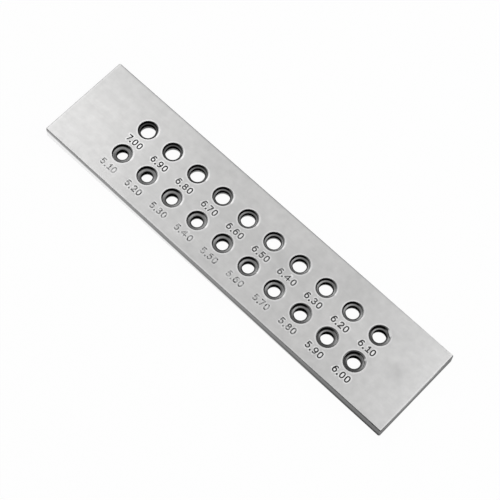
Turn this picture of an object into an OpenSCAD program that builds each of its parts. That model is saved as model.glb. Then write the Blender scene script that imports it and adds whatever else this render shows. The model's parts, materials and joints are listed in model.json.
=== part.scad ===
// Wire draw plate: a steel plate with twenty carbide drawing dies pressed in from the back.
// Millimetres. X runs along the plate, Z points out of the front face, where the wire leaves.
// The origin is the centre of the back face.

/* [Plate] */
// Length of the plate
plate_len = 208; // [200:1:240]
// Width of the plate
plate_wid = 48; // [44:0.5:60]
// Thickness of the plate
plate_t = 7.5; // [6.5:0.1:12]
// Radius of the four upright corners
corner_r = 0.6; // [0.6:0.1:4]
// Chamfer on the edges of both faces
edge_break = 0.4; // [0.2:0.05:0.5]

/* [Hole pattern] */
// Distance from one hole to the next along a row
hole_pitch = 16; // [15:0.1:17]
// Distance between the two rows
row_gap = 16.7; // [15:0.1:20]
// Distance from the left end to the first hole of each row
first_hole = 34.4; // [20:0.1:40]

/* [Seats] */
// Thickness of the front lip that each die is pressed against
lip_t = 1; // [0.6:0.1:1.8]
// Diameter of the opening in the lip
lip_d = 9.4; // [9.2:0.1:10]
// Chamfer on the front edge of each opening
lip_break = 0.2; // [0.05:0.05:0.3]
// Chamfer on the back edge of each pocket
pocket_break = 0.2; // [0.05:0.05:0.2]
// Clearance on the radius between a die and its pocket
die_fit = 0.01; // [0.005:0.005:0.05]
// Depth of the back of a die below the back face
die_recess = 0.3; // [0.2:0.05:0.5]

/* [Dies] */
// Outside diameter of every die
die_d = 12.5; // [11.5:0.1:13.5]
// Chamfer on both outer rims of a die
die_break = 0.25; // [0.1:0.05:0.4]
// Bore of the smallest die
first_bore = 5.1; // [4:0.1:5.5]
// Step from one bore to the next
bore_step = 0.1; // [0.02:0.01:0.12]
// Length of the bearing, the straight part that sets the wire's size
bearing_len = 1.5; // [1:0.1:2]
// Step from the wall of the lip opening in to the mouth of the exit relief
relief_step = 0.6; // [0.2:0.05:0.8]
// Half angle of the exit relief
relief_half_angle = 75; // [60:1:78]
// Length of the approach cone, which squeezes the wire
approach_len = 1.7; // [1:0.1:2.2]
// Half angle of the approach cone
approach_half_angle = 8; // [6:0.5:10]
// Width of the flat ring around the entry bell at the back of a die
bell_land = 0.7; // [0.4:0.05:1]

/* [Hidden] */
// Facets of a full round
$fn = 96;
// Overlap of a cut past the face that it starts from
past = 1;
// Holes in each row, fixed because every die is a named piece
per_row = 10;
// Height of the front of every die, against the lip
die_front = plate_t - lip_t;
// Radius of a pocket
pocket_r = die_d / 2 + die_fit;
// Radius of the opening in the lip
lip_r = lip_d / 2;
// Radius of the mouth of the exit relief
relief_r = lip_r - relief_step;

// The name of a die, counted from the smallest bore
function die_name(n) = str("die_", n < 10 ? "0" : "", n);

// The place of a die along the plate: up the lower row, then back along the upper row
function column(n) = n <= per_row ? n - 1 : 2 * per_row - n;
function die_x(n) = first_hole - plate_len / 2 + column(n) * hole_pitch;
function die_y(n) = (n <= per_row ? -1 : 1) * row_gap / 2;

// The bore radius of a die
function bore_r(n) = (first_bore + (n - 1) * bore_step) / 2;

DIES = [for (n = [1:2 * per_row]) n];

// Half of a bar's cross-section, from its middle plane outwards, with both outer edges broken
function half_section(reach) = [
    [0, 0],
    [reach - edge_break, 0],
    [reach, edge_break],
    [reach, plate_t - edge_break],
    [reach - edge_break, plate_t],
    [0, plate_t]
];

// A whole bar's cross-section: the half and its mirror image
module bar_section(reach) {
    polygon(half_section(reach));
    mirror([1, 0]) polygon(half_section(reach));
}

// The plate before its seats are cut: two crossed bars and a round post in each corner
module blank() {
    straight_x = plate_len / 2 - corner_r;
    straight_y = plate_wid / 2 - corner_r;
    rotate([90, 0, 90])
        translate([0, 0, -straight_x])
            linear_extrude(2 * straight_x) bar_section(plate_wid / 2);
    rotate([90, 0, 0])
        translate([0, 0, -straight_y])
            linear_extrude(2 * straight_y) bar_section(plate_len / 2);
    for (sx = [-1, 1], sy = [-1, 1])
        translate([sx * straight_x, sy * straight_y, 0])
            rotate_extrude() polygon(half_section(corner_r));
}

// The space that one seat takes out of the plate: pocket, lip opening and two broken edges
module seat_cut() {
    rotate_extrude() polygon([
        [0, -past],
        [pocket_r + pocket_break + past, -past],
        [pocket_r, pocket_break],
        [pocket_r, die_front],
        [lip_r, die_front],
        [lip_r, plate_t - lip_break],
        [lip_r + lip_break + past, plate_t + past],
        [0, plate_t + past]
    ]);
}

// Ground steel plate with a seat for every die
module plate() {
    color([0.72, 0.72, 0.73]) difference() {
        blank();
        for (n = DIES) translate([die_x(n), die_y(n), 0]) seat_cut();
    }
}

// One carbide die, from the entry bell at the back to the exit relief at the front
module die(n) {
    r = bore_r(n);
    outer_r = die_d / 2;
    rim_r = outer_r - die_break;
    relief_len = (relief_r - r) / tan(relief_half_angle);
    bearing_top = die_front - relief_len;
    bearing_end = bearing_top - bearing_len;
    approach_end = bearing_end - approach_len;
    approach_r = r + approach_len * tan(approach_half_angle);
    color([0.36, 0.36, 0.38])
        translate([die_x(n), die_y(n), 0])
            rotate_extrude() polygon([
                [rim_r - bell_land, die_recess],
                [rim_r, die_recess],
                [outer_r, die_recess + die_break],
                [outer_r, die_front - die_break],
                [rim_r, die_front],
                [relief_r, die_front],
                [r, bearing_top],
                [r, bearing_end],
                [approach_r, approach_end]
            ]);
}

plate();
for (n = DIES) die(n);
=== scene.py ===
import json
import math
import random
from collections import namedtuple

import bpy
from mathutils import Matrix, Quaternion, Vector, noise
from mathutils.geometry import delaunay_2d_cdt


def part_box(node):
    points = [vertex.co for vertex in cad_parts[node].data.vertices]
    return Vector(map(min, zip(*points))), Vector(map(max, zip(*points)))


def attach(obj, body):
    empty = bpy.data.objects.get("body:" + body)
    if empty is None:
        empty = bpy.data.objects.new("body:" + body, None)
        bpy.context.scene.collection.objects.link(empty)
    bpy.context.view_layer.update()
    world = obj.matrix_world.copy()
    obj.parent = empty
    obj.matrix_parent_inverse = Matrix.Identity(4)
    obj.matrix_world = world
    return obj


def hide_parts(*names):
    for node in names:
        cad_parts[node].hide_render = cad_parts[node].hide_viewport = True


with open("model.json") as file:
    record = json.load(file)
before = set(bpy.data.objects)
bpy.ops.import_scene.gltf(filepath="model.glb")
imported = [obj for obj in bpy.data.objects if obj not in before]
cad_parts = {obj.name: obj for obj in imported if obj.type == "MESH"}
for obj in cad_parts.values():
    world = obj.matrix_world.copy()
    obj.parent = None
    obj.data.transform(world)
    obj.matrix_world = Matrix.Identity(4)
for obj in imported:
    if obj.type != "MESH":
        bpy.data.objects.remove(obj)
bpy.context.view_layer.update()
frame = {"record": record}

# Wire draw plate: a ground steel plate with twenty carbide dies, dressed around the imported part.
# Lengths are in millimetres until a mesh is made. X runs along the plate and Z out of its front.
# Angles around a hole are in degrees from X. Holes, dies and labels go by their number, 1 to 20.
MM = 0.001

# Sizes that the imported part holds
plate_low, plate_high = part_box("plate")
HALF_LEN = (plate_high.x - plate_low.x) / 2 / MM
HALF_WID = (plate_high.y - plate_low.y) / 2 / MM
THICK = (plate_high.z - plate_low.z) / MM
die_low, die_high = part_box("die_01")
DIE_R = (die_high.x - die_low.x) / 2 / MM
DIE_BACK = die_low.z / MM
DIE_FRONT = die_high.z / MM

# Edges of the plate; the chamfer's steps are shares of the edge break, inwards and along the side
CORNER_R = 0.6
CORNER_STEPS = 6
SIDE_STEP = 2.0
EDGE_BREAK = 0.4
EDGE_WOBBLE = 0.16
WOBBLES_PER_MM = 0.11
WOBBLE_LEVEL = 4.2
SOFT_CHAMFER = ((1, 0), (0.85, 0.1), (0.1, 0.85), (0, 1))

# Painted highlight and shade on the front's broken edge, along the plate by (share of its length,
# brightness)
UPPER_SHINE = ((0.7, 0.05), (1, 0.9))
LOWER_SHINE = ((0.4, 0.55), (0.92, 0.16), (1, -0.06))
LEFT_END_SHINE = 0.45
RIGHT_END_SHINE = 0.38
BACK_EDGE_SHINE = 0.1

# Painted light on the front face along its edge, written the same way: a bright halo, and painted shade
# below 0
UPPER_PAINTED_LIGHT = ((0.5, -0.6), (1, 0))
LOWER_PAINTED_LIGHT = ((0, 0), (0.5, 0.7), (1, 0))
LEFT_END_PAINTED_LIGHT = 0.4
RIGHT_END_PAINTED_LIGHT = 0.8
EDGE_RIM = 1.2
FULL_PAINTED_HALO = 1.25

# How bright the painted reflection on the foot of the sides is, written the same way
DULL_SIDE = 0.15
REFLECTING_SIDE = 0.6
LOWER_SIDE = ((0, REFLECTING_SIDE), (1, DULL_SIDE))
RIGHT_END_SIDE = 0.25

# Seats of the dies
LIP_R = 4.7
LIP_BREAK = 0.14
DEEP_LIP_BREAK = {8: 0.28, 9: 0.36, 10: 0.46, 11: 0.3}
POCKET_GAP = 0.01
POCKET_BREAK = 0.2
ROUND_STEPS = 96
ROUND_ANGLES = [360 * step / ROUND_STEPS for step in range(ROUND_STEPS)]

# Wear of the seats and painted light on one side of them; here and below, a rim is the width of a painted
# bright halo
WORN_AND_LIT_SIDE = 50
WORN_WIDE = 0.25
LIT_SIDE_DIMMING = 0.2
LIP_SHINE = 0.06
LIP_PAINTED_HIGHLIGHT = 0.5
LIP_RIM = 0.9
LIT_SIDE_HALO_LOSS = 0.5
POCKET_RIM = 0.5
POCKET_PAINTED_HALO = 0.7

# Burrs on two lips, each at an angle, reaching that far to both sides and leaning in over the die
Burr = namedtuple("Burr", "angle reach lean")
BURRS = {10: Burr(angle=52, reach=9, lean=0.25), 11: Burr(angle=57, reach=24, lean=0.55)}
NO_BURR = Burr(angle=0, reach=1, lean=0)
BURR_DROP = 0.3
# a painted highlight brightens a burr's broken edge, fully once it leans in by BRIGHT_LEAN
BURR_SHINE = 0.85
BRIGHT_LEAN = 0.25

# Inside of a die
DIE_BREAK = 0.25
GROOVE_DEPTH = 0.1
GROOVE_REACH = 0.1
RELIEF_R = 4.1
SMALL_RELIEF_R = {8: 3.95, 9: 3.85, 10: 3.8, 11: 3.85}
RELIEF_HALF_ANGLE = math.radians(75)
RELIEF_BEND = (0.4, 0.6)
RELIEF_SAG = (0.0, 0.2)
LEAST_RELIEF = 0.1
ROUND_WIDE = 0.6
ROUND_DEEP = 0.3
ROUND_RISE = 0.12
ROUND_SUNK = 0.02
ROUND_POINTS = 6
BEARING_LEN = 1.5
APPROACH_LEN = 1.7
LONG_APPROACH = {8: 3.2, 9: 2.8, 10: 2.8, 11: 2.5}
SHORT_APPROACH = 1.0
FIRST_SHORT = 15
APPROACH_HALF_ANGLE = math.radians(8)
BELL_LAND = 0.7
BELL_STEPS = 8

# Painted shade on the dies, mostly on one side, and painted light on their faces, amounts from 0 to 1
SHADED_SIDE = 141
SHADE_START_COS = 0.5
SHADE_FULL_COS = 0.75
SHADED_DIES = {9: 0.15, 10: 0.35, 11: 0.1}
LAST_UNSHADED_DIE = 15
DIE_SHADE_STEP = 0.16
RELIEF_SHADE = 0.5
LAST_FULL_RELIEF_SHADE = 11
RELIEF_SHADE_STEP = 0.1
BORE_SHADE = 0.8
BORE_SHADE_SWING = 0.5
MOST_BORE_SHADE = 0.95
BORE_EDGE_WIDTH = 0.45
FACE_PAINTED_LIGHT = 0.4
RADIUS_SLACK = 0.01

# Engraved figures
FIGURE_W = 1.72
FIGURE_H = 2.77
STROKE = 0.54
THIN_STROKE = {"4": 0.4}
STROKE_CORNER_STEPS = 5
STROKE_END_STEPS = 8
ROUNDED_TURN = math.radians(25)
DOT_R = 0.44
DOT_STEPS = 20
WALL_RUN = 0.1
ENGRAVE_DEPTH = 0.14
MARK_RIM = 0.9
FIGURE_ADVANCE = 2.88
OTHER_ADVANCE = {".": 1.33, "1": 2.6, "4": 3.73}
CLOSE_PAIRS = {"7.": 0.5, ".7": 0.5}
LABEL_SHIFT = (-0.11, -8.385)
LABEL_TILT = 0.0025

# How far the dark fill of each label is rubbed away, most in the lower row
LABEL_WEAR = {
    1: 0.72, 2: 0.45, 3: 0.58, 4: 0.62, 5: 0.88, 6: 0.74, 7: 0.7, 8: 0.4, 9: 0.1, 10: 0.0,
    13: 0.12, 14: 0.2, 15: 0.2, 16: 0.2, 17: 0.15, 19: 0.0, 20: 0.0,
}
USUAL_LABEL_WEAR = 0.06

# Meshes
MERGE_DIGITS = 4
CUT_TOLERANCE = 1e-5
SHARP_ANGLE = math.radians(28)

Hole = namedtuple("Hole", "number x y bore_r")


def read_holes():
    """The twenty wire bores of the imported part, in the order of their numbers."""
    holes = []
    for mount in frame["record"]["mounts"]:
        if mount["kind"] == "bore":
            number = int(mount["name"][-2:])
            x, y, _ = (value / MM for value in mount["pos_m"])
            holes.append(Hole(number, x, y, mount["dims"]["r_mm"]))
    return sorted(holes)


HOLES = read_holes()


# Node materials

class Shader:
    """A Principled material and short ways to add the nodes that drive it."""

    def __init__(self, name, **sockets):
        self.material = bpy.data.materials.new(name)
        self.material.use_nodes = True
        self.tree = self.material.node_tree
        self.bsdf = self.tree.nodes["Principled BSDF"]
        for socket, value in sockets.items():
            self.bsdf.inputs[socket.replace("_", " ")].default_value = value
        self.place = self.tree.nodes.new("ShaderNodeTexCoord").outputs["Object"]

    def link(self, source, target):
        self.tree.links.new(source, target)

    def add(self, kind, **settings):
        node = self.tree.nodes.new(kind)
        for key, value in settings.items():
            setattr(node, key, value)
        return node

    def noise(self, size, detail=2.0, roughness=0.5, stretch=(1, 1, 1)):
        """Noise from 0 to 1 whose features are about size millimetres wide, times the stretch."""
        mapping = self.add("ShaderNodeMapping")
        mapping.inputs["Scale"].default_value = [1 / (size * MM * part) for part in stretch]
        self.link(self.place, mapping.inputs["Vector"])
        texture = self.add("ShaderNodeTexNoise")
        texture.inputs["Scale"].default_value = 1
        texture.inputs["Detail"].default_value = detail
        texture.inputs["Roughness"].default_value = roughness
        self.link(mapping.outputs["Vector"], texture.inputs["Vector"])
        return texture.outputs["Fac"]

    def rings(self, size, detail=2.0):
        """Noise in rings about the Z axis of the piece, about size millimetres apart."""
        flat = self.add("ShaderNodeVectorMath", operation="MULTIPLY")
        flat.inputs[1].default_value = (1, 1, 0)
        self.link(self.place, flat.inputs[0])
        radius = self.add("ShaderNodeVectorMath", operation="LENGTH")
        self.link(flat.outputs["Vector"], radius.inputs[0])
        place = self.add("ShaderNodeCombineXYZ")
        self.link(radius.outputs["Value"], place.inputs["X"])
        self.link(self.axis("Z"), place.inputs["Y"])
        texture = self.add("ShaderNodeTexNoise")
        texture.inputs["Scale"].default_value = 1 / (size * MM)
        texture.inputs["Detail"].default_value = detail
        self.link(place.outputs["Vector"], texture.inputs["Vector"])
        return texture.outputs["Fac"]

    def away(self, point):
        """The distance from a point given in millimetres, in metres."""
        node = self.add("ShaderNodeVectorMath", operation="DISTANCE")
        node.inputs[1].default_value = [value * MM for value in point]
        self.link(self.place, node.inputs[0])
        return node.outputs["Value"]

    def attribute(self, name):
        return self.add("ShaderNodeAttribute", attribute_name=name).outputs["Fac"]

    def axis(self, name):
        """One coordinate of the place on the piece, in metres."""
        split = self.add("ShaderNodeSeparateXYZ")
        self.link(self.place, split.inputs["Vector"])
        return split.outputs[name]

    def grey(self, value):
        """The same number for red, green and blue."""
        node = self.add("ShaderNodeCombineColor")
        for socket in node.inputs:
            self.link(value, socket)
        return node.outputs["Color"]

    def math(self, operation, first, second):
        node = self.add("ShaderNodeMath", operation=operation)
        for socket, value in zip(node.inputs, (first, second)):
            if isinstance(value, (int, float)):
                socket.default_value = value
            else:
                self.link(value, socket)
        return node.outputs["Value"]

    def spread(self, value, low, high, start=0.0, end=1.0):
        """Maps value from start..end to low..high and holds it there beyond."""
        node = self.add("ShaderNodeMapRange")
        self.link(value, node.inputs["Value"])
        node.inputs["From Min"].default_value = start
        node.inputs["From Max"].default_value = end
        node.inputs["To Min"].default_value = low
        node.inputs["To Max"].default_value = high
        return node.outputs["Result"]

    def colour(self, value, stops):
        """A colour ramp over value; stops are (place, grey or colour)."""
        node = self.add("ShaderNodeValToRGB")
        ramp = node.color_ramp
        while len(ramp.elements) < len(stops):
            ramp.elements.new(0.5)
        for element, (place, tone) in zip(ramp.elements, stops):
            element.position = place
            rgb = tone if isinstance(tone, tuple) else (tone, tone, tone)
            element.color = (*rgb, 1)
        self.link(value, node.inputs["Fac"])
        return node.outputs["Color"]

    def mix(self, share, first, second, blend="MIX"):
        """Mixes two colours, each a socket or a grey."""
        # the sockets of a Mix node share their names, so they are picked by their order
        node = self.add("ShaderNodeMix", data_type="RGBA", blend_type=blend)
        share_in, first_in, second_in = node.inputs[0], node.inputs[6], node.inputs[7]
        for socket, value in ((share_in, share), (first_in, first), (second_in, second)):
            if isinstance(value, bpy.types.NodeSocket):
                self.link(value, socket)
            elif socket is share_in:
                socket.default_value = value
            else:
                socket.default_value = (value, value, value, 1)
        return node.outputs[2]

    def base(self, value):
        self.link(value, self.bsdf.inputs["Base Color"])

    def rough(self, value):
        self.link(value, self.bsdf.inputs["Roughness"])

    def bump(self, height, depth, strength=1.0):
        """Bump of that depth in millimetres from a height of 0 to 1."""
        node = self.add("ShaderNodeBump")
        node.inputs["Distance"].default_value = depth * MM
        node.inputs["Strength"].default_value = strength
        self.link(height, node.inputs["Height"])
        self.link(node.outputs["Normal"], self.bsdf.inputs["Normal"])


def ground_steel():
    """Satin ground face: soft clouds, fine grain along the plate, and painted light: bright halos along
    rims, a lighter and darker sweep and a paler right end.
    """
    shader = Shader("ground_steel", Metallic=1.0)
    cloud = shader.noise(22, detail=3, stretch=(1.6, 1, 1))
    grain = shader.noise(0.35, detail=3, stretch=(30, 1, 1))
    speck = shader.noise(0.8, detail=2)
    blotch = shader.noise(3.5, detail=2)
    tone = shader.colour(cloud, [(0.3, (0.585, 0.583, 0.58)), (0.7, (0.66, 0.655, 0.65))])

    # painted light and shade: lighter towards two opposite corners and darker towards the other two
    across = shader.math("MULTIPLY", shader.axis("X"), shader.axis("Y"))
    reach = HALF_LEN * HALF_WID * MM * MM
    painted_sweep = shader.grey(shader.spread(across, 0.91, 1.09, -reach, reach))
    painted_swept = shader.mix(1.0, tone, painted_sweep, "MULTIPLY")

    # painted light: paler towards the right end; also a faint smudge there
    pale_start = (HALF_LEN - 50) * MM
    painted_pale_end = shader.mix(shader.spread(shader.axis("X"), 0.0, 0.3, pale_start, HALF_LEN * MM), painted_swept, 0.8)
    smudge_place = (91.5, 0.6, THICK)
    smudge = shader.spread(shader.away(smudge_place), 0.3, 0.0, 1.5 * MM, 6 * MM)
    smudged = shader.mix(smudge, painted_pale_end, 0.42)

    # fine marks of grinding and handling
    mottle = shader.grey(shader.spread(blotch, 0.94, 1.06, 0.25, 0.75))
    mottled = shader.mix(1.0, smudged, mottle, "MULTIPLY")
    grained = shader.mix(shader.spread(grain, 0.0, 0.16), mottled, 0.42)
    specked = shader.mix(shader.spread(speck, 0.0, 0.1, 0.45, 0.75), grained, 0.5)

    # painted highlight: a bright halo where rim is high; painted shade where it is below 0
    rim = shader.attribute("rim")
    dimmed = shader.mix(shader.spread(rim, 0.5, 0.0, -1.0, 0.0), specked, 0.3)
    shader.base(shader.mix(shader.spread(rim, 0.0, 1.0, 0.0, FULL_PAINTED_HALO), dimmed, 0.87))
    cloudy = shader.spread(cloud, 0.36, 0.46)
    shader.rough(shader.math("ADD", cloudy, shader.spread(grain, -0.05, 0.05)))
    shader.bump(grain, 0.01, strength=0.25)
    return shader.material


def side_steel():
    """Long sides and ends: drawn lines, painted shade along the foot, and a bright painted reflection
    there where shine is high.
    """
    shader = Shader("side_steel", Metallic=1.0)
    line = shader.noise(0.4, detail=3, stretch=(40, 40, 1))
    patch = shader.noise(14, detail=3, stretch=(2, 2, 1))
    shine = shader.attribute("shine")
    foot = shader.spread(shine, 0.7 * MM, 5.6 * MM, DULL_SIDE, REFLECTING_SIDE)
    above_foot = shader.math("SUBTRACT", shader.axis("Z"), foot)
    rise = shader.spread(above_foot, 0.0, 1.0, -1 * MM, 4 * MM)
    # painted shade darkens the foot; a painted reflection brightens it where shine is high
    shaded_foot = shader.colour(rise, [(0.2, 0.06), (0.5, 0.12), (0.75, 0.3)])
    reflecting_foot = shader.colour(rise, [(0.2, 0.7), (0.4, 0.55), (0.75, 0.6)])
    graze = shader.colour(rise, [(0.05, 1.0), (0.2, 0.4)])
    shader.link(graze, shader.bsdf.inputs["Specular Tint"])
    upper = shader.mix(shader.spread(shine, 0.0, 1.0, DULL_SIDE, REFLECTING_SIDE), shaded_foot, reflecting_foot)
    lower = shader.grey(shader.spread(shine, 0.2, 0.93, DULL_SIDE, 0.3))
    tone = shader.mix(shader.spread(rise, 1.0, 0.0, 0.0, 0.2), upper, lower)
    lined = shader.math("MULTIPLY", shader.spread(line, 0.0, 0.45), rise)
    shader.base(shader.mix(lined, tone, shader.mix(1.0, tone, 0.6, "MULTIPLY")))
    shader.rough(shader.spread(patch, 0.38, 0.52))
    shader.bump(line, 0.02, strength=0.4)
    return shader.material


def edge_steel():
    """Hand-broken edges, painted from shade to highlight with shine."""
    shader = Shader("edge_steel", Metallic=1.0)
    patch = shader.noise(3, detail=3)
    tone = shader.colour(shader.attribute("shine"), [(0.0, 0.1), (1.0, 0.9)])
    shader.base(shader.mix(shader.spread(patch, 0.0, 0.3, 0.4, 0.7), tone, 0.3))
    shader.rough(shader.spread(patch, 0.3, 0.45))
    return shader.material


def seat_steel():
    """Bored walls of the seats: turning lines on a near-black tone that is painted shade, lightened by
    painted light on their worn side.
    """
    shader = Shader("seat_steel", Metallic=1.0, Specular_Tint=(0.25, 0.25, 0.25, 1))
    ring = shader.noise(0.25, detail=2, stretch=(30, 30, 1))
    tone = shader.colour(ring, [(0.3, 0.02), (0.7, 0.05)])
    shader.base(shader.mix(shader.spread(shader.attribute("wear_and_light"), 0.0, 0.95), tone, 0.7))
    shader.rough(shader.spread(ring, 0.38, 0.5))
    shader.bump(ring, 0.02, strength=0.4)
    return shader.material


def mark_fill():
    """Dark fill of the engraved figures, rubbed away in patches where the label's wear is high."""
    shader = Shader("mark_fill", Specular_IOR_Level=0.3)
    fleck = shader.noise(0.5, detail=3, roughness=0.7)
    patch = shader.spread(shader.noise(1.1, detail=2), 0.1, 1.9, 0.35, 0.65)
    wear_and_light = shader.math("MULTIPLY", shader.attribute("wear_and_light"), patch)
    wear = shader.math("ADD", wear_and_light, shader.spread(fleck, -0.2, 0.2))
    shader.base(shader.colour(wear, [(0.0, 0.022), (1.0, 0.5)]))
    shader.rough(shader.spread(fleck, 0.5, 0.7))
    shader.bump(fleck, 0.02, strength=0.5)
    return shader.material


def carbide(name, dark, light, rough_low, rough_high, graze=1.0):
    """Cemented carbide: rings left by grinding, a fine speckle and a grey for grazing reflections."""
    shader = Shader(name, Metallic=1.0, Specular_Tint=(graze, graze, graze, 1))
    ring = shader.rings(0.5)
    speck = shader.noise(0.3, detail=2)
    tone = shader.colour(ring, [(0.3, dark), (0.7, light)])
    specked = shader.mix(shader.spread(speck, 0.0, 0.25), tone, dark)
    # painted light pales the face on the worn side; painted shade then darkens towards near black
    wear_and_light = shader.mix(shader.attribute("wear_and_light"), specked, 0.5)
    shader.base(shader.mix(shader.attribute("painted_shade"), wear_and_light, 0.01))
    shader.rough(shader.spread(speck, rough_low, rough_high))
    shader.bump(ring, 0.012, strength=0.35)
    return shader.material


# Meshes

def make_piece(name, points, faces, materials, indices, marks, node, origin=(0, 0, 0)):
    """A finished piece that stands for a CAD node, from points in millimetres.

    Marks are lists with one number for each point, by the name that the materials read.
    """
    mesh = bpy.data.meshes.new(name)
    mesh.from_pydata([[value * MM for value in point] for point in points], [], faces)
    for material in materials:
        mesh.materials.append(material)
    mesh.polygons.foreach_set("material_index", indices)
    mesh.shade_smooth()
    mesh.set_sharp_from_angle(angle=SHARP_ANGLE)
    for mark, values in marks.items():
        mesh.attributes.new(mark, "FLOAT", "POINT").data.foreach_set("value", values)
    piece = bpy.data.objects.new(name, mesh)
    piece.location = [value * MM for value in origin]
    bpy.context.scene.collection.objects.link(piece)
    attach(piece, "root")
    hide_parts(node)


def circle(x, y, radius, steps=ROUND_STEPS):
    turn = 2 * math.pi / steps
    return [(x + radius * math.cos(turn * k), y + radius * math.sin(turn * k)) for k in range(steps)]


def arc(cx, cy, rx, ry, start, end, steps=14):
    """Points on an ellipse from one angle to another, in degrees."""
    angles = [math.radians(start + (end - start) * k / steps) for k in range(steps + 1)]
    return [(cx + rx * math.cos(a), cy + ry * math.sin(a)) for a in angles]


# Engraved figures

def oval(cx, cy, rx, ry, fullness=2.0, steps=36):
    """A closed round loop, fuller at the shoulders where fullness is over 2."""
    loop = []
    for k in range(steps):
        c = math.cos(2 * math.pi * k / steps)
        s = math.sin(2 * math.pi * k / steps)
        x = math.copysign(abs(c) ** (2 / fullness), c)
        y = math.copysign(abs(s) ** (2 / fullness), s)
        loop.append((cx + rx * x, cy + ry * y))
    return loop


def turned(points):
    """The same points after half a turn of the figure's box."""
    return [(1 - x, 1 - y) for x, y in points]


SIX_HOOK = arc(0.62, 0.36, 0.62, 0.64, 62, 180)
SIX_BOWL = oval(0.5, 0.315, 0.5, 0.315)

# Open strokes and closed loops of each figure, in a box that is 1 wide and 1 high
FIGURES = {
    "0": ([], [oval(0.5, 0.5, 0.5, 0.5, fullness=2.4)]),
    "1": ([[(0.28, 0.77), (0.68, 1), (0.68, 0)], [(0.24, 0), (1.12, 0)]], []),
    "2": ([arc(0.5, 0.72, 0.48, 0.28, 165, -38) + [(0.02, 0), (1, 0)]], []),
    "3": ([arc(0.47, 0.76, 0.43, 0.24, 155, -90), arc(0.47, 0.265, 0.51, 0.265, 90, -155)], []),
    "4": ([[(0.7, 1), (0.7, 0)], [(0.7, 1), (-0.45, 0.31), (1.22, 0.31)]], []),
    "5": ([[(0.93, 1), (0.17, 1), (0.09, 0.54)], arc(0.47, 0.325, 0.53, 0.325, 138, -150)], []),
    "6": ([SIX_HOOK], [SIX_BOWL]),
    "7": ([[(0, 1), (1, 1), (0.33, 0)]], []),
    "8": ([], [oval(0.5, 0.76, 0.42, 0.24), oval(0.5, 0.265, 0.5, 0.265)]),
    "9": ([turned(SIX_HOOK)], [turned(SIX_BOWL)]),
}


def direction(start, end):
    along = Vector(end) - Vector(start)
    return along.normalized()


def left_of(along):
    return Vector((-along.y, along.x))


def round_between(centre, first, second, half, steps):
    """Points on a round end or outer corner, turning clockwise from one normal to another."""
    turn = first.angle_signed(second)
    if turn < 0:
        turn += 2 * math.pi
    begin = math.atan2(first.y, first.x)
    angles = [begin - turn * k / steps for k in range(steps + 1)]
    return [(centre[0] + half * math.cos(a), centre[1] + half * math.sin(a)) for a in angles]


def left_side(points, half):
    """The line half a stroke to the left of an open line, rounded where it turns away."""
    side = [tuple(Vector(points[0]) + half * left_of(direction(points[0], points[1])))]
    for before, here, after in zip(points, points[1:], points[2:]):
        first = left_of(direction(before, here))
        second = left_of(direction(here, after))
        turn = first.angle_signed(second)
        if turn > ROUNDED_TURN:
            side += round_between(here, first, second, half, STROKE_CORNER_STEPS)
        else:
            side.append(tuple(Vector(here) + half * (first + second) / (1 + first.dot(second))))
    side.append(tuple(Vector(points[-1]) + half * left_of(direction(points[-2], points[-1]))))
    return side


def stroke_outline(points, half):
    """The outline of a pen stroke with round ends along an open line."""
    outline = []
    for line in (points, points[::-1]):
        normal = left_of(direction(line[-2], line[-1]))
        outline += left_side(line, half)
        outline += round_between(line[-1], normal, -normal, half, STROKE_END_STEPS)[1:-1]
    return outline


def grown(loop, amount):
    """A closed counter-clockwise loop moved outwards by that amount."""
    moved = []
    for before, here, after in zip(loop[-1:] + loop, loop, loop[1:] + loop[:1]):
        moved.append(tuple(Vector(here) - amount * left_of(direction(before, after))))
    return moved


def advance(symbol, after=" "):
    """The room a symbol takes along its line, less where the next one tucks in under it."""
    return OTHER_ADVANCE.get(symbol, FIGURE_ADVANCE) - CLOSE_PAIRS.get(symbol + after, 0.0)


def label_lines(hole):
    """The strokes, loops and dot of a hole's size in their place on the plate.

    Each stroke and loop comes with half its width.
    """
    text = f"{2 * hole.bore_r:.2f}"
    advances = [advance(*pair) for pair in zip(text, text[1:] + " ")]
    pen = hole.x + LABEL_SHIFT[0] - sum(advances) / 2
    centre_y = hole.y + LABEL_SHIFT[1] + LABEL_TILT * hole.x
    strokes, loops, dots = [], [], []
    for symbol, step in zip(text, advances):
        middle = pen + advance(symbol) / 2
        pen += step
        if symbol == ".":
            dots.append((middle, centre_y - FIGURE_H / 2))
            continue
        opened, closed = FIGURES[symbol]
        half = THIN_STROKE.get(symbol, STROKE) / 2
        for lines, kept in ((opened, strokes), (closed, loops)):
            for line in lines:
                placed = [
                    (middle + (x - 0.5) * FIGURE_W, centre_y + (y - 0.5) * FIGURE_H)
                    for x, y in line
                ]
                kept.append((placed, half))
    return strokes, loops, dots


# Steel plate

def edge_outline(share):
    """The plate's outline, drawn in by that share of its slightly uneven edge break."""
    points = []
    quarter = 0
    for sx, sy in ((1, 1), (-1, 1), (-1, -1), (1, -1)):
        centre = (sx * (HALF_LEN - CORNER_R), sy * (HALF_WID - CORNER_R))
        points += arc(*centre, CORNER_R, CORNER_R, quarter, quarter + 90, CORNER_STEPS)
        quarter += 90
    drawn = []
    dense = filled(points)
    for before, here, after in zip(dense[-1:] + dense, dense, dense[1:] + dense[:1]):
        inward = left_of(direction(before, after))
        drawn.append(tuple(Vector(here) + share * edge_break(here) * inward))
    return drawn


def filled(points):
    """A closed line with more points along its long stretches."""
    dense = []
    for here, after in zip(points, points[1:] + points[:1]):
        count = max(1, round((Vector(after) - Vector(here)).length / SIDE_STEP))
        dense += [tuple(Vector(here).lerp(Vector(after), k / count)) for k in range(count)]
    return dense


def inner_rectangle(inset):
    """A plain rectangle that far inside the plate's outline."""
    x, y = HALF_LEN - inset, HALF_WID - inset
    return filled([(x, y), (-x, y), (-x, -y), (x, -y)])


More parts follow.
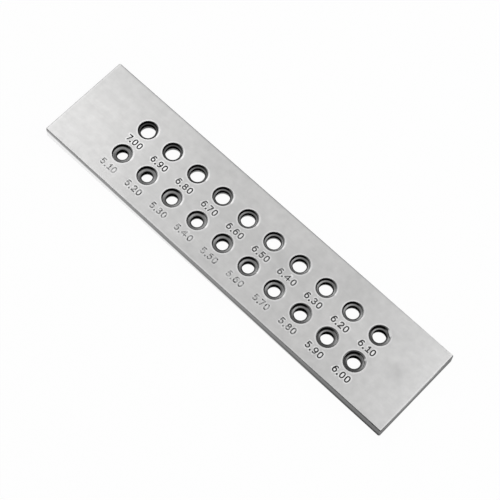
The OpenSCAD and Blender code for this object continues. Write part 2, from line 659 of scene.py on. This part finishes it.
def edge_break(point):
    """The width of the hand-broken edge at a point of the outline."""
    x, y = point
    swing = noise.noise(Vector((x * WOBBLES_PER_MM, y * WOBBLES_PER_MM, WOBBLE_LEVEL)))
    return EDGE_BREAK * (1 + EDGE_WOBBLE * swing)


def along_plate(x, stops):
    """The value at a place along the plate, straight between stops of (share of its length, value)."""
    share = (x / HALF_LEN + 1) / 2
    value = stops[0][1]
    for (start, low), (end, high) in zip(stops, stops[1:]):
        value += (high - low) * min(1.0, max(0.0, (share - start) / (end - start)))
    return value


def edge_shine(x, y):
    """How bright the painted highlight on the front's broken edge is: the right end darkens towards its
    corners.
    """
    if abs(x) > HALF_LEN - CORNER_R:
        return RIGHT_END_SHINE * (1 - (y / HALF_WID) ** 2) if x > 0 else LEFT_END_SHINE
    return along_plate(x, UPPER_SHINE if y > 0 else LOWER_SHINE)


def edge_painted_light(x, y):
    """How bright the painted halo on the front face is along its edge; below 0 it is painted shade."""
    if abs(x) > HALF_LEN - 2 * CORNER_R:
        return RIGHT_END_PAINTED_LIGHT if x > 0 else LEFT_END_PAINTED_LIGHT
    return along_plate(x, LOWER_PAINTED_LIGHT if y < 0 else UPPER_PAINTED_LIGHT)


def side_shine(x, y):
    """How bright the painted reflection on the foot of the sides is: the lower side most, towards the
    left.
    """
    if x > HALF_LEN - CORNER_R:
        return RIGHT_END_SIDE
    if y > 0 or x < -HALF_LEN + CORNER_R / 2:
        return DULL_SIDE
    return along_plate(x, LOWER_SIDE)


class FlatCut:
    """A flat face cut by outlines, triangulated with a note of which outlines hold each triangle."""

    def __init__(self):
        self.points = []
        self.rims = []
        self.outlines = []

    def add(self, outline, rim=0.0):
        """Adds a closed outline and returns its number; rim is a value or a function of the place."""
        area = sum(a[0] * b[1] - b[0] * a[1] for a, b in zip(outline, outline[1:] + outline[:1]))
        ordered = outline if area > 0 else outline[::-1]
        first = len(self.points)
        self.points += ordered
        self.rims += [rim(*point) if callable(rim) else rim for point in ordered]
        self.outlines.append(list(range(first, first + len(ordered))))
        return len(self.outlines) - 1

    def triangulate(self):
        """Points, triangles, the outlines around each triangle and the rim value of each point.

        Where two outlines cross, the new point takes the highest rim value next to it.
        """
        given = [Vector(point) for point in self.points]
        only_inside = 1
        cut = delaunay_2d_cdt(given, [], self.outlines, only_inside, CUT_TOLERANCE)
        found, edges, triangles, sources, _, holders = cut
        places, rims = [], []
        for point, source in zip(found, sources):
            places.append(self.points[source[0]] if source else tuple(point))
            rims.append(max((self.rims[k] for k in source), default=0.0))
        for pair in edges:
            for here, there in (pair, pair[::-1]):
                if sources[there] and not sources[here]:
                    rims[here] = max(rims[here], rims[there])
        return places, triangles, [set(numbers) for numbers in holders], rims


MARK_TOP, MARK_FLOOR, MARK_HALO = range(3)


class Label:
    """The outlines of one label: the top and foot of its engraved walls and the painted bright halo
    around them.
    """

    def __init__(self, cut, hole):
        strokes, loops, dots = label_lines(hole)
        self.wear = LABEL_WEAR.get(hole.number, USUAL_LABEL_WEAR)
        self.painted_halo = FULL_PAINTED_HALO - self.wear
        half_run = WALL_RUN / 2
        levels = ((half_run, self.painted_halo), (-half_run, 0.0), (half_run + MARK_RIM, 0.0))
        self.edges = [[] for _ in levels]
        for level, (run, rim) in enumerate(levels):
            edges = self.edges[level]
            for line, half in strokes:
                edges.append((cut.add(stroke_outline(line, half + run), rim), None))
            for loop, half in loops:
                inner = None if level == MARK_HALO else cut.add(grown(loop, -half - run), rim)
                edges.append((cut.add(grown(loop, half + run), rim), inner))
            for x, y in dots:
                edges.append((cut.add(circle(x, y, DOT_R + run, DOT_STEPS), rim), None))

    def holds(self, level, inside):
        """Whether a triangle lies in a stroke, loop or dot at that level."""
        return any(outer in inside and inner not in inside for outer, inner in self.edges[level])

    def rings(self, inside):
        """Whether a triangle lies in the bare middle of a round figure."""
        return any(inner in inside for _, inner in self.edges[MARK_TOP])


STEEL_TOP, STEEL_SIDE, STEEL_EDGE, STEEL_SEAT, STEEL_MARK = range(5)


class PlateMesh:
    """Points, faces and marks of the steel plate, gathered side by side."""

    def __init__(self):
        self.points = []
        self.faces = []
        self.indices = []
        self.marks = {"rim": [], "wear_and_light": [], "shine": []}
        self.known = {}

    def point(self, x, y, z, **marks):
        """The number of the point at that place, new or known, with its marks set."""
        key = tuple(round(value, MERGE_DIGITS) for value in (x, y, z))
        if key not in self.known:
            self.known[key] = len(self.points)
            self.points.append((x, y, z))
            for values in self.marks.values():
                values.append(0.0)
        for name, value in marks.items():
            self.marks[name][self.known[key]] = value
        return self.known[key]

    def face(self, corners, index):
        """Adds a face, unless some of its corners are one point."""
        if len(set(corners)) == len(corners):
            self.faces.append(corners)
            self.indices.append(index)

    def band(self, lower, upper, index):
        """Quads between two rings of points."""
        count = len(lower)
        for k in range(count):
            after = (k + 1) % count
            self.face([lower[k], lower[after], upper[after], upper[k]], index)


def add_front(plate):
    """Front face with the lip openings and the engraved labels."""
    cut = FlatCut()
    cut.add(edge_outline(1.0), edge_painted_light)
    cut.add(inner_rectangle(EDGE_RIM))
    openings = {cut.add(lip_outline(h), rim=lip_painted_halo(h)) for h in HOLES}
    for h in HOLES:
        cut.add(lip_outline(h, LIP_RIM))
    labels = [Label(cut, h) for h in HOLES]
    places, triangles, insides, rims = cut.triangulate()
    floor_points = set()
    kept = []
    for triangle, inside in zip(triangles, insides):
        if openings & inside:
            continue
        marked = None
        for label in labels:
            if label.holds(MARK_TOP, inside):
                marked = label
                if label.holds(MARK_FLOOR, inside):
                    floor_points.update(triangle)
            elif label.rings(inside):
                for k in triangle:
                    rims[k] = label.painted_halo
        kept.append((triangle, marked))
    for triangle, marked in kept:
        corners = []
        for k in triangle:
            z = THICK - ENGRAVE_DEPTH if k in floor_points else THICK
            marks = {"rim": rims[k], "wear_and_light": marked.wear} if marked else {"rim": rims[k]}
            corners.append(plate.point(*places[k], z, **marks))
        plate.face(corners, STEEL_MARK if marked else STEEL_TOP)


def add_back(plate):
    """Back face with the mouths of the pockets."""
    cut = FlatCut()
    cut.add(edge_outline(1.0))
    mouth_r = DIE_R + POCKET_GAP + POCKET_BREAK
    mouths = {cut.add(circle(h.x, h.y, mouth_r), rim=POCKET_PAINTED_HALO) for h in HOLES}
    for h in HOLES:
        cut.add(circle(h.x, h.y, mouth_r + POCKET_RIM))
    places, triangles, insides, rims = cut.triangulate()
    for triangle, inside in zip(triangles, insides):
        if not mouths & inside:
            corners = [plate.point(*places[k], 0, rim=rims[k]) for k in reversed(triangle)]
            plate.face(corners, STEEL_TOP)


def add_edges(plate):
    """Broken edges and the sides between them."""
    levels = [(inset, 0, drop) for inset, drop in SOFT_CHAMFER]
    levels += [(inset, THICK, -drop) for inset, drop in reversed(SOFT_CHAMFER)]
    outline = edge_outline(0.0)
    rings = []
    for inset, start, drop in levels:
        ring = []
        for corner, drawn in zip(outline, edge_outline(inset)):
            height = start + drop * edge_break(corner)
            shine = side_shine(*corner)
            if inset:
                shine = edge_shine(*corner) if start else BACK_EDGE_SHINE
            ring.append(plate.point(*drawn, height, shine=shine))
        rings.append(ring)
    side = len(SOFT_CHAMFER) - 1
    for k, (lower, upper) in enumerate(zip(rings, rings[1:])):
        plate.band(lower, upper, STEEL_SIDE if k == side else STEEL_EDGE)


def lip_break(hole):
    return DEEP_LIP_BREAK.get(hole.number, LIP_BREAK)


def lip_wear_and_light(angle):
    """How far wire has worn a lip at that angle, from 0 to 1; the same amount sets the painted light on
    that side of the seat, its die and its edges.
    """
    return max(0.0, math.cos(math.radians(angle - WORN_AND_LIT_SIDE))) ** 2


def burr(hole, angle):
    """How far a burr leans in over the die at that angle."""
    found = BURRS.get(hole.number, NO_BURR)
    share = min(1.0, abs(angle - found.angle) / found.reach)
    return found.lean * math.cos(share * math.pi / 2)


def around(hole, radius, angle):
    """The place at that radius and angle from the middle of a hole."""
    turn = math.radians(angle)
    return hole.x + radius * math.cos(turn), hole.y + radius * math.sin(turn)


def lip_outline(hole, outset=0.0):
    """The front edge of a lip, wider where it is worn, moved out by that much."""
    points = []
    for angle in ROUND_ANGLES:
        radius = LIP_R + lip_break(hole) + WORN_WIDE * lip_wear_and_light(angle) + outset
        points.append(around(hole, radius, angle))
    return points


def lip_edge(hole, angle):
    """The foot of a lip's broken edge at that angle, drawn in where there is a burr."""
    lean = burr(hole, angle)
    drop = max(lip_break(hole), BURR_DROP if lean else 0.0)
    return *around(hole, LIP_R - lean, angle), THICK - drop


def lip_painted_halo(hole):
    """The painted bright halo around a lip, as a function of the place: weaker on its worn side, where
    painted light falls.
    """
    def halo(x, y):
        angle = math.degrees(math.atan2(y - hole.y, x - hole.x))
        return 1 - LIT_SIDE_HALO_LOSS * lip_wear_and_light(angle)
    return halo


def lip_shine(hole, angle):
    """How bright a lip's broken edge is at that angle, all painted light: painted shade on the side where
    the dies' shade is painted, a painted highlight elsewhere, dimmed on its worn side, and bright on a
    burr.
    """
    dark = max(0.0, math.cos(math.radians(angle - SHADED_SIDE)))
    usual = LIP_SHINE + LIP_PAINTED_HIGHLIGHT * (1 - dark) - LIT_SIDE_DIMMING * lip_wear_and_light(angle)
    return usual + (BURR_SHINE - usual) * min(1.0, burr(hole, angle) / BRIGHT_LEAN)


def add_seats(plate):
    """Pocket, lip and broken edges of every seat."""
    pocket_r = DIE_R + POCKET_GAP
    for h in HOLES:
        profile = (
            (pocket_r + POCKET_BREAK, 0),
            (pocket_r, POCKET_BREAK),
            (pocket_r, DIE_FRONT),
            (LIP_R, DIE_FRONT),
        )
        rings = [[plate.point(*p, z) for p in circle(h.x, h.y, r)] for r, z in profile]
        rings.append([plate.point(*lip_edge(h, angle)) for angle in ROUND_ANGLES])
        for lower, upper in zip(rings, rings[1:]):
            plate.band(upper, lower, STEEL_SEAT)
        front = [plate.point(*p, THICK) for p in lip_outline(h)]
        plate.band(front, rings[-1], STEEL_EDGE)
        for ring in (rings[-2], rings[-1], front):
            for k, angle in zip(ring, ROUND_ANGLES):
                plate.marks["shine"][k] = lip_shine(h, angle)
                plate.marks["wear_and_light"][k] = lip_wear_and_light(angle)


def make_plate():
    plate = PlateMesh()
    add_front(plate)
    add_back(plate)
    add_edges(plate)
    add_seats(plate)
    materials = [ground_steel(), side_steel(), edge_steel(), seat_steel(), mark_fill()]
    make_piece("steel_plate", plate.points, plate.faces, materials, plate.indices, plate.marks,
               "plate")


# Carbide dies

DIE_BODY, DIE_FACE, DIE_RELIEF, DIE_BORE = range(4)


def relief_radius(hole):
    return SMALL_RELIEF_R.get(hole.number, RELIEF_R)


def die_profile(hole, chance):
    """Half section of a die from its entry bell on: (radius, height, finish of the next stretch)."""
    bore_r = hole.bore_r
    relief_r = relief_radius(hole)
    bearing_top = DIE_FRONT - (RELIEF_R - bore_r) / math.tan(RELIEF_HALF_ANGLE)
    bearing_end = bearing_top - BEARING_LEN
    usual_len = APPROACH_LEN if hole.number < FIRST_SHORT else SHORT_APPROACH
    approach_len = LONG_APPROACH.get(hole.number, usual_len)
    approach_end = bearing_end - approach_len
    approach_r = bore_r + approach_len * math.tan(APPROACH_HALF_ANGLE)
    rim_r = DIE_R - DIE_BREAK
    bell_r = rim_r - BELL_LAND
    round_wide = min(ROUND_WIDE, relief_r - bore_r - LEAST_RELIEF)
    round_top = min(bearing_top + ROUND_RISE, DIE_FRONT - ROUND_SUNK)
    bend_share = chance.uniform(*RELIEF_BEND)
    bend_r = relief_r + (bore_r + round_wide - relief_r) * bend_share
    bend_z = DIE_FRONT + (round_top - DIE_FRONT) * (bend_share + chance.uniform(*RELIEF_SAG))
    profile = [
        (bell_r, DIE_BACK, DIE_BODY),
        (rim_r, DIE_BACK, DIE_BODY),
        (DIE_R, DIE_BACK + DIE_BREAK, DIE_BODY),
        (DIE_R, DIE_FRONT - DIE_BREAK, DIE_BODY),
        (rim_r, DIE_FRONT, DIE_BODY),
        (LIP_R + GROOVE_REACH, DIE_FRONT, DIE_BORE),
        (LIP_R + GROOVE_REACH / 2, DIE_FRONT - GROOVE_DEPTH, DIE_FACE),
        (relief_r, DIE_FRONT, DIE_RELIEF),
        (bend_r, bend_z, DIE_RELIEF),
    ]
    for k in range(ROUND_POINTS):
        turn = math.pi / 2 * k / (ROUND_POINTS - 1)
        r = bore_r + round_wide * (1 - math.sin(turn))
        z = round_top - ROUND_DEEP * (1 - math.cos(turn))
        profile.append((r, z, DIE_RELIEF if 2 * k < ROUND_POINTS else DIE_BORE))
    profile += [(bore_r, bearing_end, DIE_BORE), (approach_r, approach_end, DIE_RELIEF)]
    for k in range(1, BELL_STEPS):
        turn = math.pi / 2 * k / BELL_STEPS
        r = approach_r + (bell_r - approach_r) * (1 - math.cos(turn))
        z = approach_end + (DIE_BACK - approach_end) * math.sin(turn)
        profile.append((r, z, DIE_RELIEF))
    return profile


def make_die(hole, materials):
    """A turned ring from its half section."""
    profile = die_profile(hole, random.Random(hole.number))
    points, faces, indices = [], [], []
    for r, z, _ in profile:
        points += [(x, y, z) for x, y in circle(0, 0, r)]
    count = len(profile)
    for ring in range(count):
        first = ring * ROUND_STEPS
        second = (ring + 1) % count * ROUND_STEPS
        for k in range(ROUND_STEPS):
            after = (k + 1) % ROUND_STEPS
            faces.append([first + k, first + after, second + after, second + k])
            indices.append(profile[ring][2])
    marks = {
        "painted_shade": [die_painted_shade(hole, x, y) for x, y, _ in points],
        "wear_and_light": [die_painted_light(hole, x, y) for x, y, _ in points],
    }
    make_piece(f"carbide_die_{hole.number:02d}", points, faces, materials, indices, marks,
               f"die_{hole.number:02d}", origin=(hole.x, hole.y, 0))


def on_face(hole, x, y):
    """Whether a point of a die lies outside of its relief."""
    return math.hypot(x, y) > relief_radius(hole) - RADIUS_SLACK


def die_painted_shade(hole, x, y):
    """How dark painted shade leaves a point of a die: one side of the face, the other of the bore."""
    whole_die_shade = SHADED_DIES.get(hole.number, DIE_SHADE_STEP * max(0, hole.number - LAST_UNSHADED_DIE))
    side = math.cos(math.atan2(y, x) - math.radians(SHADED_SIDE))
    if on_face(hole, x, y):
        painted_shade = min(1.0, (side - SHADE_START_COS) / (SHADE_FULL_COS - SHADE_START_COS))
    elif math.hypot(x, y) < hole.bore_r + BORE_EDGE_WIDTH:
        painted_shade = min(MOST_BORE_SHADE, BORE_SHADE - BORE_SHADE_SWING * side)
    else:
        relief_shade = max(0.0, RELIEF_SHADE - RELIEF_SHADE_STEP * max(0, hole.number - LAST_FULL_RELIEF_SHADE))
        painted_shade = relief_shade * (1 - max(0.0, side))
    return max(whole_die_shade, painted_shade)


def die_painted_light(hole, x, y):
    """How far painted light pales a point of a die: only the face, on the side where the lip is worn."""
    return FACE_PAINTED_LIGHT * lip_wear_and_light(math.degrees(math.atan2(y, x))) if on_face(hole, x, y) else 0.0


# Stage

def make_floor():
    """A pale floor just under the plate, near white to the camera and to reflections."""
    half_metres = 5.0
    gap = 0.02 * MM
    white_share = 0.97
    mesh = bpy.data.meshes.new("floor")
    corners = [(sx * half_metres, sy * half_metres, 0) for sx, sy in ((-1, -1), (1, -1), (1, 1), (-1, 1))]
    mesh.from_pydata(corners, [], [[0, 1, 2, 3]])
    floor = bpy.data.objects.new("floor", mesh)
    floor.location.z = -gap
    bpy.context.scene.collection.objects.link(floor)
    shader = Shader("floor", Base_Color=(0.8, 0.8, 0.8, 1), Roughness=1.0, Specular_IOR_Level=0.0)
    rays = shader.add("ShaderNodeLightPath")
    seen = shader.math("MAXIMUM", rays.outputs["Is Camera Ray"], rays.outputs["Is Glossy Ray"])
    seen = shader.math("MAXIMUM", seen, rays.outputs["Is Transmission Ray"])
    white = shader.add("ShaderNodeEmission")
    mixed = shader.add("ShaderNodeMixShader")
    shader.link(shader.math("MULTIPLY", seen, white_share), mixed.inputs["Fac"])
    shader.link(shader.bsdf.outputs["BSDF"], mixed.inputs[1])
    shader.link(white.outputs["Emission"], mixed.inputs[2])
    shader.link(mixed.outputs["Shader"], shader.tree.nodes["Material Output"].inputs["Surface"])
    mesh.materials.append(shader.material)


def make_world():
    """A plain grey room, lighter overhead than at the horizon."""
    world = bpy.data.worlds.new("room")
    bpy.context.scene.world = world
    world.use_nodes = True
    tree = world.node_tree
    background = tree.nodes["Background"]
    place = tree.nodes.new("ShaderNodeTexCoord")
    split = tree.nodes.new("ShaderNodeSeparateXYZ")
    ramp = tree.nodes.new("ShaderNodeValToRGB")
    for element, (height, grey) in zip(ramp.color_ramp.elements, ((0.1, 0.3), (0.75, 0.62))):
        element.position = height
        element.color = (grey, grey, grey, 1)
    tree.links.new(place.outputs["Generated"], split.inputs["Vector"])
    tree.links.new(split.outputs["Z"], ramp.inputs["Fac"])
    tree.links.new(ramp.outputs["Color"], background.inputs["Color"])


def softbox(name, centre, width, height, radiance, aim=(0, 0, 0)):
    """A soft area lamp; places and sizes in metres, brightness as its own radiance."""
    lamp = bpy.data.lights.new(name, "AREA")
    lamp.shape = "RECTANGLE"
    lamp.size = width
    lamp.size_y = height
    lamp.energy = radiance * math.pi * width * height
    light = bpy.data.objects.new(name, lamp)
    light.location = centre
    light.rotation_euler = (Vector(aim) - Vector(centre)).to_track_quat("-Z", "Y").to_euler()
    light.visible_camera = False
    bpy.context.scene.collection.objects.link(light)


def make_camera():
    """The photograph's view: high over the near end, with a long lens."""
    azimuth = math.radians(40.63)
    elevation = math.radians(67.38)
    roll = math.radians(3.36)
    distance = 716.7 * MM
    aim = Vector((5.54, -2.1, THICK)) * MM
    back = Vector((
        math.sin(azimuth) * math.cos(elevation),
        -math.cos(azimuth) * math.cos(elevation),
        math.sin(elevation),
    ))
    camera = bpy.data.objects.new("camera", bpy.data.cameras.new("camera"))
    camera.data.sensor_width = 36
    camera.data.lens = 115.2
    camera.data.clip_start = 0.01
    camera.data.clip_end = 50
    camera.location = aim + back * distance
    camera.rotation_mode = "QUATERNION"
    camera.rotation_quaternion = (-back).to_track_quat("-Z", "Y") @ Quaternion((0, 0, 1), roll)
    bpy.context.scene.collection.objects.link(camera)
    bpy.context.scene.camera = camera


make_camera()
make_floor()
make_world()
softbox("left_softbox", (-0.62, 0.22, 0.62), width=0.5, height=0.6, radiance=1.5)
softbox("right_softbox", (0.3, 0.25, 0.62), width=0.4, height=0.5, radiance=1.5)
softbox("left_strip", (-0.75, -0.24, 0.12), width=0.6, height=0.2, radiance=0.8)
softbox("end_strip", (0.7, 0.2, 0.22), width=0.5, height=0.25, radiance=1.3, aim=(0.1, 0, 0))

make_plate()
carbide_finishes = [
    carbide("carbide_body", dark=0.2, light=0.26, rough_low=0.45, rough_high=0.6),
    carbide("carbide_face", dark=0.08, light=0.18, rough_low=0.2, rough_high=0.3, graze=0.5),
    carbide("carbide_relief", dark=0.13, light=0.41, rough_low=0.3, rough_high=0.42),
    carbide("carbide_bore", dark=0.02, light=0.05, rough_low=0.2, rough_high=0.3, graze=0.0),
]
for hole in HOLES:
    make_die(hole, carbide_finishes)

bpy.context.scene.view_settings.view_transform = "Standard"
